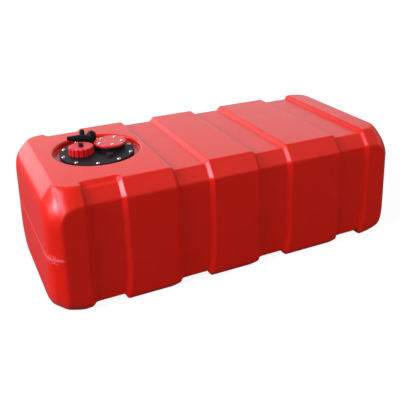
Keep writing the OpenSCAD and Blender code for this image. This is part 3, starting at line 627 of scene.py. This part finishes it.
def screw_blank(name, size):
    """Button-head screw with a hexagon socket, its seat at height 0."""
    head_r, head_h, socket_r = size["head_r"], size["head_h"], size["socket_r"]
    shank_r, tip, floor_z = size["shank_r"], -size["shank_l"], head_h - SOCKET_DEPTH
    dome = [(head_r * math.cos(t), head_h * (HEAD_RIM + (1 - HEAD_RIM) * math.sin(t)))
            for t in np.linspace(0, math.radians(HEAD_DOME), 7)]
    bm = form([(0, tip), (TIP_R * shank_r, tip), (shank_r, tip + 1), (shank_r, 0),
               (head_r - HEAD_EDGE, 0), (head_r, HEAD_EDGE), *dome,
               (SOCKET_MOUTH * socket_r, head_h), (socket_r, head_h - HEAD_EDGE),
               (socket_r, floor_z), (0, floor_z)], steps=36)
    for v in bm.verts:
        if v.co.z / MM > floor_z - 0.1 and 0 < v.co.xy.length / MM < SOCKET_ZONE * socket_r:
            v.co.xy *= math.cos(math.pi / 6) / math.cos(from_flat(v.co)) * SOCKET_SPREAD
    mesh = mesh_of(bm, name)
    mesh.shade_smooth()
    mesh.set_sharp_from_angle(angle=math.radians(40))
    return bpy.data.objects.new(name, mesh)


# Nodes

def add_node(tree, kind, inputs=None, **settings):
    """Adds a node with its settings; each input, by name or number, is a value or an output that is
    linked to it.
    """
    made = tree.nodes.new(kind)
    for key, value in settings.items():
        setattr(made, key, value)
    for key, value in (inputs or {}).items():
        if isinstance(value, bpy.types.NodeSocket):
            tree.links.new(value, made.inputs[key])
        else:
            made.inputs[key].default_value = value
    return made


def sums(tree, operation, first, second=0.0):
    """One sum on two values."""
    return add_node(tree, "ShaderNodeMath", {0: first, 1: second}, operation=operation).outputs[0]


def vector_sum(tree, operation, inputs):
    """One sum on vectors; returns the node's outputs."""
    return add_node(tree, "ShaderNodeVectorMath", inputs, operation=operation).outputs


def step(tree, value, low, high):
    """A soft step that is 0 at low and 1 at high, whichever of them is the larger."""
    ends = {"From Min": low, "From Max": high}
    if low > high:
        ends = {"From Min": high, "From Max": low, "To Min": 1.0, "To Max": 0.0}
    return add_node(tree, "ShaderNodeMapRange", {"Value": value, **ends},
                    interpolation_type="SMOOTHSTEP").outputs[0]


def node_group(name, inputs):
    """New geometry group with named inputs; returns it, the keys that a modifier sets them by, and
    the sockets that carry them inside.
    """
    tree = bpy.data.node_groups.new(name, "GeometryNodeTree")
    keys = {}
    for label, kind in inputs.items():
        socket = tree.interface.new_socket(label, in_out="INPUT", socket_type="NodeSocket" + kind)
        keys[label] = socket.identifier
    tree.interface.new_socket("Geometry", in_out="OUTPUT", socket_type="NodeSocketGeometry")
    return tree, keys, add_node(tree, "NodeGroupInput").outputs


def close_group(tree, geometry, finish):
    """Ends a geometry group: instances become real, and all of it gets its material."""
    real = add_node(tree, "GeometryNodeRealizeInstances", {"Geometry": geometry})
    coated = add_node(tree, "GeometryNodeSetMaterial",
                      {"Geometry": real.outputs[0], "Material": finish})
    add_node(tree, "NodeGroupOutput", {0: coated.outputs[0]})


def grown(obj, tree, keys, values):
    """Runs a geometry group on an object and keeps the result as its plain mesh."""
    grow = obj.modifiers.new("grow", "NODES")
    grow.node_group = tree
    for label, value in values.items():
        grow[keys[label]] = value
    return made_plain(obj)


def screw_ring(name, blank, size, at, z, finish):
    """A ring of equal screws, each turned its own way, grown with Geometry Nodes."""
    tree, keys, given = node_group("screw_ring", {
        "Screw": "Object", "Count": "Int", "Ring radius": "Float", "First turn": "Float",
        "Finish": "Material"})
    circle = add_node(tree, "GeometryNodeMeshCircle",
                      {"Vertices": given["Count"], "Radius": given["Ring radius"]})
    first = add_node(tree, "ShaderNodeCombineXYZ", {"Z": given["First turn"]})
    spots = add_node(tree, "GeometryNodeTransform", {
        "Geometry": circle.outputs[0], "Rotation": first.outputs[0],
        "Translation": metres(*at, z)})
    source = add_node(tree, "GeometryNodeObjectInfo", {"Object": given["Screw"]})
    chance = add_node(tree, "FunctionNodeRandomValue", {"Min": 0.0, "Max": 6.283, "Seed": 7},
                      data_type="FLOAT")
    spin = add_node(tree, "ShaderNodeCombineXYZ", {"Z": chance.outputs["Value"]})
    placed = add_node(tree, "GeometryNodeInstanceOnPoints", {
        "Points": spots.outputs[0], "Instance": source.outputs["Geometry"],
        "Rotation": spin.outputs[0]})
    close_group(tree, placed.outputs[0], given["Finish"])
    ring = grown(shown(name, bpy.data.meshes.new(name)), tree, keys, {
        "Screw": blank, "Count": size["count"], "Ring radius": size["ring"] * MM,
        "First turn": math.radians(size["turn"]), "Finish": finish})
    bpy.data.objects.remove(blank)
    return ring


def fluted(obj, at, count, depth, rim, finish):
    """Presses equal flutes into the rim of a turned blank with Geometry Nodes."""
    tree, keys, given = node_group("rim_flutes", {
        "Blank": "Geometry", "Count": "Float", "Depth": "Float", "Rim": "Float",
        "Finish": "Material"})
    place = add_node(tree, "GeometryNodeInputPosition").outputs[0]
    arm = vector_sum(tree, "SUBTRACT", {0: place, 1: metres(*at, 0)})[0]
    level = vector_sum(tree, "MULTIPLY", {0: arm, 1: (1, 1, 0)})[0]
    reach = vector_sum(tree, "LENGTH", {0: level})["Value"]
    outward = vector_sum(tree, "NORMALIZE", {0: level})[0]
    part = add_node(tree, "ShaderNodeSeparateXYZ", {0: level}).outputs
    wave = sums(tree, "MULTIPLY", sums(tree, "ARCTAN2", part["Y"], part["X"]), given["Count"])
    flute = step(tree, sums(tree, "COSINE", wave), *FLUTE_CREST)
    near = sums(tree, "SUBTRACT", given["Rim"], given["Depth"])
    edge = step(tree, sums(tree, "SUBTRACT", reach, near), -FLUTE_RUN * MM, 0.0)
    deep = sums(tree, "MULTIPLY", sums(tree, "MULTIPLY", flute, edge), given["Depth"])
    inward = sums(tree, "MULTIPLY", deep, -1.0)
    shift = vector_sum(tree, "SCALE", {0: outward, "Scale": inward})[0]
    pressed = add_node(tree, "GeometryNodeSetPosition",
                       {"Geometry": given["Blank"], "Offset": shift})
    close_group(tree, pressed.outputs[0], given["Finish"])
    return smoothed(grown(obj, tree, keys, {
        "Count": float(count), "Depth": depth * MM, "Rim": rim * MM, "Finish": finish}), angle=45)


# Materials

def linear(code):
    """Linear colour of an sRGB hex code."""
    parts = [int(code[i:i + 2], 16) / 255 for i in (1, 3, 5)]
    return [c / 12.92 if c <= 0.04045 else ((c + 0.055) / 1.055) ** 2.4 for c in parts] + [1.0]


def material(name, **surface):
    """New material with one surface shader; returns it, its tree, that shader and the object's own
    coordinates.
    """
    made = bpy.data.materials.new(name)
    made.use_nodes = True
    tree = made.node_tree
    tree.nodes.clear()
    shader = add_node(tree, "ShaderNodeBsdfPrincipled", surface)
    add_node(tree, "ShaderNodeOutputMaterial", {"Surface": shader.outputs[0]})
    return made, tree, shader, add_node(tree, "ShaderNodeTexCoord").outputs["Object"]


def grain(tree, place, size, detail=2.0, rough=0.5):
    """Noise whose spots are about the given size in millimetres."""
    return add_node(tree, "ShaderNodeTexNoise", {
        "Vector": place, "Scale": 1 / (size * MM), "Detail": detail,
        "Roughness": rough}).outputs["Fac"]


def between(tree, factor, low, high, from_low=0.3, from_high=0.7):
    """A value that runs from low to high as the factor does."""
    return add_node(tree, "ShaderNodeMapRange", {
        "Value": factor, "From Min": from_low, "From Max": from_high, "To Min": low,
        "To Max": high}).outputs[0]


def tinted(tree, factor, first, second):
    """A colour between two, of which either may be a hex code."""
    first, second = (linear(c) if isinstance(c, str) else c for c in (first, second))
    return add_node(tree, "ShaderNodeMix", {0: factor, 6: first, 7: second},
                    data_type="RGBA").outputs[2]


def raised(tree, height, depth, below=None):
    """Relief of the given depth in millimetres over the relief below it."""
    inputs = {"Height": height, "Distance": depth * MM, "Strength": 1.0}
    if below is not None:
        inputs["Normal"] = below
    return add_node(tree, "ShaderNodeBump", inputs).outputs[0]


def coat(tree, skin, colour, rough, relief=None):
    """Gives a surface shader its colour, its roughness and any relief."""
    for socket, source in (("Base Color", colour), ("Roughness", rough), ("Normal", relief)):
        if source is not None:
            tree.links.new(source, skin.inputs[socket])


def red_body():
    """Rotomoulded polyethylene: satin red, finely pebbled, with slow waves in its broad faces and a
    mould seam on its end.
    """
    made, tree, skin, place = material("rotomoulded_red_polyethylene", IOR=1.45)
    skin.inputs["Specular IOR Level"].default_value = 0.38
    part = add_node(tree, "ShaderNodeSeparateXYZ", {0: place}).outputs
    wander = between(tree, grain(tree, place, 30), -SEAM_WANDER * MM, SEAM_WANDER * MM)
    offset = sums(tree, "ADD", sums(tree, "SUBTRACT", part["Z"], SEAM_Z * MM), wander)
    height = sums(tree, "ABSOLUTE", offset)
    seam = sums(tree, "MULTIPLY", step(tree, height, *metres(*SEAM_HALF)),
                step(tree, part["X"], *metres(*SEAM_X)))
    at_corner = sums(tree, "MULTIPLY", step(tree, part["Y"], *metres(*SCAR_Y)),
                     step(tree, part["X"], *metres(*SCAR_X)))
    scar_zone = sums(tree, "MULTIPLY", at_corner, step(tree, height, *metres(*SCAR_HALF)))
    chips = step(tree, grain(tree, place, 5, 3.0, 0.7), *SCAR_CHIPS)
    marks = sums(tree, "MAXIMUM", seam, sums(tree, "MULTIPLY", chips, scar_zone))
    mottle = between(tree, grain(tree, place, 38, 3.0, 0.6), 0, 1)
    tone = tinted(tree, mottle, "#c61604", "#cb1805")
    waves = raised(tree, grain(tree, place, 90, 1.0), 0.5)
    marked = raised(tree, marks, 0.7, waves)
    # About 1 mm on the object; drawn at 2.5 mm so that it doesn't vanish between pixels
    pebble = raised(tree, grain(tree, place, 2.5), 0.025, marked)
    coat(tree, skin, tinted(tree, sums(tree, "MULTIPLY", marks, MARK_TONE), tone, "#ea6a66"),
         between(tree, grain(tree, place, 24, 3.0), 0.28, 0.31), pebble)
    return made


def red_fitting():
    """Injection-moulded red plastic: a smoother satin than the body, with faint swirls of flow."""
    made, tree, skin, place = material("moulded_red_plastic", IOR=1.48)
    flow = add_node(tree, "ShaderNodeTexNoise", {
        "Vector": place, "Scale": 60.0, "Detail": 3.0, "Distortion": 1.5}).outputs["Fac"]
    coat(tree, skin, tinted(tree, between(tree, flow, 0, 1), "#bc1218", "#c81a20"),
         between(tree, grain(tree, place, 9), 0.3, 0.42),
         raised(tree, grain(tree, place, 1.6), 0.03))
    return made


def black_fitting():
    """Moulded black nylon with glass fill: near-black satin, a little dusty, finely textured."""
    made, tree, skin, place = material("moulded_black_nylon", IOR=1.5)
    skin.inputs["Specular IOR Level"].default_value = 0.15
    dust = grain(tree, place, 14, 4.0, 0.65)
    fine = grain(tree, place, 1.4)
    tone = tinted(tree, between(tree, dust, 0, 1), "#0b0c0d", "#141517")
    coat(tree, skin, tinted(tree, between(tree, fine, 0, 0.2, 0.55, 0.8), tone, "#34373a"),
         between(tree, dust, 0.5, 0.62), raised(tree, fine, 0.04))
    return made


def steel():
    """Passivated stainless steel screws: bright, with fine turning marks and a trace of tarnish."""
    made, tree, skin, place = material("passivated_stainless_steel", Metallic=1.0)
    tarnish = grain(tree, place, 2.2, 3.0)
    coat(tree, skin, tinted(tree, between(tree, tarnish, 0, 1), "#d8d9da", "#b9b8b4"),
         between(tree, tarnish, 0.2, 0.34), raised(tree, grain(tree, place, 0.5), 0.01))
    return made


def rubber():
    """Moulded nitrile rubber: dull near-black with a bloom of grey."""
    made, tree, skin, place = material("moulded_nitrile_rubber", IOR=1.52)
    bloom = grain(tree, place, 4, 3.0)
    coat(tree, skin, tinted(tree, between(tree, bloom, 0, 1), "#141414", "#232322"),
         between(tree, bloom, 0.62, 0.8), raised(tree, grain(tree, place, 0.8), 0.03))
    return made


def brass():
    """Machined brass inserts: warm metal with fine tool marks."""
    made, tree, skin, place = material("machined_brass", Metallic=1.0)
    marks = grain(tree, place, 1.0)
    coat(tree, skin, tinted(tree, between(tree, marks, 0, 1), "#c9a45a", "#b08a44"),
         between(tree, marks, 0.25, 0.4))
    return made


def natural_nylon():
    """Extruded natural nylon: milky, a little yellowed."""
    made, tree, skin, place = material("extruded_natural_nylon", IOR=1.53)
    age = grain(tree, place, 20)
    coat(tree, skin, tinted(tree, between(tree, age, 0, 1), "#e6e0cc", "#d8cfb2"),
         between(tree, age, 0.35, 0.5))
    return made


RED, RED_CAP, BLACK, STEEL, RUBBER, BRASS, NYLON = (
    red_body(), red_fitting(), black_fitting(), steel(), rubber(), brass(), natural_nylon())


# Pieces and the solids that they stand for

def dress(obj, finish, body, slot, *nodes):
    """Gives a piece its material, the body it moves with and the solids it replaces; the slot is
    not used.
    """
    obj.data.materials.clear()
    obj.data.materials.append(finish)
    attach(obj, body)
    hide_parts(*nodes)


tank = shown("tank_body_moulding", mesh_of(tank_body(), "tank_body_moulding"))
dress(smoothed(tank, angle=50), RED, "tank", "body_red", "tank_shell")
dress(fitting_plate(), BLACK, "tank", "fitting_black", "fitting_plate")
cap = fluted(filler_cap(), CAP_AT, CAP_FLUTES, FLUTE_DEPTH, CAP_R, RED_CAP)
dress(cap, RED_CAP, "cap", "fitting_red", "filler_cap")
dress(vent_knob(), BLACK, "knob", "fitting_black", "vent_knob")
dress(sender_cover(), RED_CAP, "tank", "fitting_red", "sender_cover")
dress(fuel_elbow(), BLACK, "tank", "fitting_black", "fuel_elbow")
dress(vent_spigot(), BLACK, "tank", "fitting_black", "vent_spigot")
dress(return_plug(), BLACK, "tank", "fitting_black", "return_plug")
for name, size, at, z in (("plate_screws", PLATE_SCREWS, PLATE_AT, PLATE_TOP),
                          ("sender_screws", SENDER_SCREWS, SENDER_AT, COVER_TOP)):
    ring = screw_ring(name + "_ring", screw_blank(name + "_blank", size), size, at, z, STEEL)
    dress(ring, STEEL, "tank", "screw_steel", name)

# Solids that keep their own mesh and only get a material
for finish, names in (
        (RUBBER, ("plate_gasket", "sender_gasket", "cap_seal", "vent_seal", "elbow_washer",
                  "vent_washer", "plug_washer")),
        (BRASS, ("plate_inserts", "sender_inserts")),
        (NYLON, ("dip_tube", "strainer")),
        (BLACK, ("elbow_nut",))):
    for name in names:
        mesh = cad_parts[name].data
        mesh.materials.clear()
        mesh.materials.append(finish)


# Studio

def seen_directly(tree, in_gloss):
    """1 for rays from the eye and through clear things, in_gloss for rays from gloss, 0 for rays
    that light things.
    """
    ray = add_node(tree, "ShaderNodeLightPath").outputs
    gloss = sums(tree, "MULTIPLY", ray["Is Glossy Ray"], in_gloss)
    seen = sums(tree, "MAXIMUM", ray["Is Camera Ray"], gloss)
    return sums(tree, "MAXIMUM", seen, ray["Is Transmission Ray"])


def floor():
    """Grey painted floor that looks white to the eye, with the tank's shadow faint on it."""
    made, tree, skin, place = material("pale_studio_paint", Roughness=0.9)
    skin.inputs["Specular IOR Level"].default_value = 0.0
    skin.inputs["Emission Color"].default_value = (1, 1, 1, 1)
    colour = tinted(tree, grain(tree, place, 300), "#626262", "#686868")
    tree.links.new(colour, skin.inputs["Base Color"])
    away = vector_sum(tree, "LENGTH", {0: place})["Value"]
    lift = between(tree, away, FLOOR_LIFT, 1.0, FLOOR_NEAR, FLOOR_FAR)
    glow = sums(tree, "MULTIPLY", seen_directly(tree, 0.0), lift)
    tree.links.new(glow, skin.inputs["Emission Strength"])
    bm = bmesh.new()
    bmesh.ops.create_grid(bm, x_segments=1, y_segments=1, size=FLOOR_HALF)
    obj = shown("studio_floor", mesh_of(bm, "studio_floor"))
    obj.data.materials.append(made)


def air():
    """Surroundings that are white to the eye and dimmer in gloss, and an even fill light."""
    world = bpy.data.worlds.new("studio_air")
    bpy.context.scene.world = world
    world.use_nodes = True
    tree = world.node_tree
    tree.nodes.clear()
    seen = sums(tree, "MULTIPLY", seen_directly(tree, AIR_IN_GLOSS), 1 - FILL)
    strength = sums(tree, "ADD", seen, FILL)
    sky = add_node(tree, "ShaderNodeBackground", {"Color": (1, 1, 1, 1), "Strength": strength})
    add_node(tree, "ShaderNodeOutputWorld", {"Surface": sky.outputs[0]})


def lamp(name, at, aim, size, power, tint=PLAIN, in_gloss=True):
    """A soft rectangular lamp aimed at a point, which may be left out of gloss."""
    light = bpy.data.lights.new(name, "AREA")
    light.shape = "RECTANGLE"
    light.size, light.size_y = size
    light.energy, light.color = power, tint
    obj = shown(name, light)
    obj.location = at
    obj.rotation_euler = (Vector(aim) - Vector(at)).to_track_quat("-Z", "Y").to_euler()
    obj.visible_camera, obj.visible_glossy = False, in_gloss


floor()
air()
lamp("left_softbox", (-3.0, -0.42, 1.5), (0, 0, 0.15), (0.85, 0.85), 82, PINK)
lamp("high_left_softbox", (-3.0, -1.4, 2.4), (0, 0, 0.15), (0.8, 0.45), 30, PINK)
lamp("back_left_softbox", (-2.5, 0.9, 2.1), (-0.3, 0, 0.2), (1.2, 0.8), 40, PINK)
lamp("front_softbox", (1.6, -2.2, 2.2), (0.1, 0, 0.15), (1.6, 1.6), 46, in_gloss=False)
lamp("back_wall_left", (-1.3, 2.6, 1.15), (-1.3, 0, 1.15), (2.2, 2.2), 29, FAINT_PINK)
lamp("back_wall_right", (1.3, 2.6, 1.15), (1.3, 0, 1.15), (2.8, 2.2), 11.5, FAINT_PINK)


def camera():
    """Camera with a small lens shift, as the photograph is cropped."""
    data = bpy.data.cameras.new("view_camera")
    data.lens, data.sensor_width = CAMERA_FOCUS / PICTURE_W * SENSOR_W, SENSOR_W
    data.shift_x, data.shift_y = CAMERA_SHIFT
    obj = shown("view_camera", data)
    level, drop = math.cos(CAMERA_PITCH), math.sin(CAMERA_PITCH)
    ahead = Vector((math.sin(CAMERA_YAW) * level, math.cos(CAMERA_YAW) * level, -drop))
    right = Vector((math.cos(CAMERA_YAW), -math.sin(CAMERA_YAW), 0))
    up = right.cross(ahead)
    c, s = math.cos(CAMERA_ROLL), math.sin(CAMERA_ROLL)
    across, upward = c * right + s * up, c * up - s * right
    turn = Matrix((across, upward, -ahead)).transposed().to_4x4()
    obj.matrix_world = Matrix.Translation(CAMERA_AT) @ turn
    bpy.context.scene.camera = obj


camera()
bpy.context.scene.view_settings.view_transform = "Standard"
